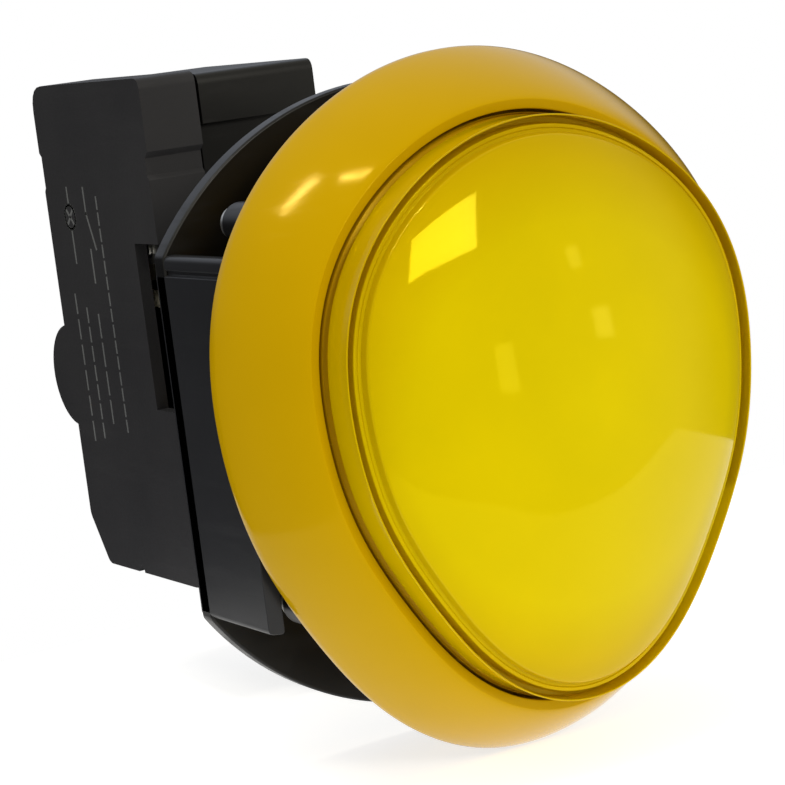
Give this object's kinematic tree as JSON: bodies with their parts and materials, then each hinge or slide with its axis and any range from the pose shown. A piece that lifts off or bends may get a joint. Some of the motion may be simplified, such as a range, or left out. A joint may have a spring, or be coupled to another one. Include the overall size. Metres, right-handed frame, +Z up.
{
  "type": "quiz buzzer",
  "caption": "Panel-mount illuminated quiz buzzer: rounded-triangle yellow lens in a deep bezel, black frame, and a lamp and snap-switch block behind.",
  "frame": {"origin": "on the button's axis, in the plane of the bezel's rear rim, where it seats on the front of a panel", "axes": "+Y to the rear along the button's axis, so the button is pressed along +Y and its face looks to -Y; +Z up, away from the face's narrow end; +X to the right of someone facing the button's front"},
  "size_m": [0.0556, 0.087, 0.0652],
  "materials": {
    "bezel_yellow": "glossy opaque yellow, moulded",
    "inner_yellow": "satin yellow, moulded",
    "lens_yellow": "polished translucent yellow",
    "diffuser_white": "milky diffusing sheet",
    "body_black": "semi-gloss black, moulded",
    "cover_dark": "fine satin texture, dark grey",
    "gasket_rubber": "dull black",
    "zinc_steel": "zinc plated",
    "spring_steel": "drawn wire",
    "terminal_brass": "tinned, stamped",
    "silver_contact": "silver alloy, dull",
    "bulb_glass": "clear",
    "cream_nylon": "satin cream"
  },
  "bodies": {
    "housing": {"bezel": "bezel_yellow", "panel_gasket": "gasket_rubber", "housing_frame": "body_black", "bezel_screw_1": "zinc_steel", "bezel_screw_2": "zinc_steel", "bezel_screw_3": "zinc_steel", "bezel_screw_4": "zinc_steel", "return_spring_1": "spring_steel", "return_spring_2": "spring_steel", "return_spring_3": "spring_steel", "return_spring_4": "spring_steel", "block_cover": "cover_dark", "block_base": "body_black", "lamp_glass": "bulb_glass", "lamp_filament": "spring_steel", "lamp_wedge": "cream_nylon", "lamp_socket": "cream_nylon", "lamp_contact_upper": "terminal_brass", "lamp_contact_lower": "terminal_brass", "lever_axle": "zinc_steel", "closed_contact": "silver_contact", "open_contact": "silver_contact", "closed_terminal": "terminal_brass", "open_terminal": "terminal_brass", "common_terminal": "terminal_brass"},
    "button": {"plunger": "inner_yellow", "lens": "lens_yellow", "diffuser": "diffuser_white"},
    "lever": {"switch_lever": "zinc_steel"},
    "pin": {"switch_pin": "cream_nylon"},
    "blade": {"switch_blade": "terminal_brass"}
  },
  "joints": [
    {"name": "button_press", "type": "slide", "parent": "housing", "child": "button", "axis": [0, 1, 0], "range_m": [0, 0.0025], "stiffness_N_per_m": 600, "springref_m": -0.003, "deforming": ["return_spring_1", "return_spring_2", "return_spring_3", "return_spring_4"]},
    {"name": "lever_turn", "type": "hinge", "parent": "housing", "child": "lever", "pos_m": [-0.0105, 0.0425, 0.015], "axis": [1, 0, 0], "range_deg": [0, 8.3]},
    {"name": "pin_slide", "type": "slide", "parent": "housing", "child": "pin", "axis": [0, 1, 0], "range_m": [0, 0.0008]},
    {"name": "blade_turn", "type": "hinge", "parent": "housing", "child": "blade", "pos_m": [-0.0105, 0.05, 0.027], "axis": [1, 0, 0], "range_deg": [0, 2.6]}
  ],
  "couplings": [
    {"joint": "lever_turn", "follows": "button_press", "rad_per_m": 57.3},
    {"joint": "pin_slide", "follows": "button_press", "ratio": 0.3095},
    {"joint": "blade_turn", "follows": "button_press", "rad_per_m": 17.79}
  ]
}
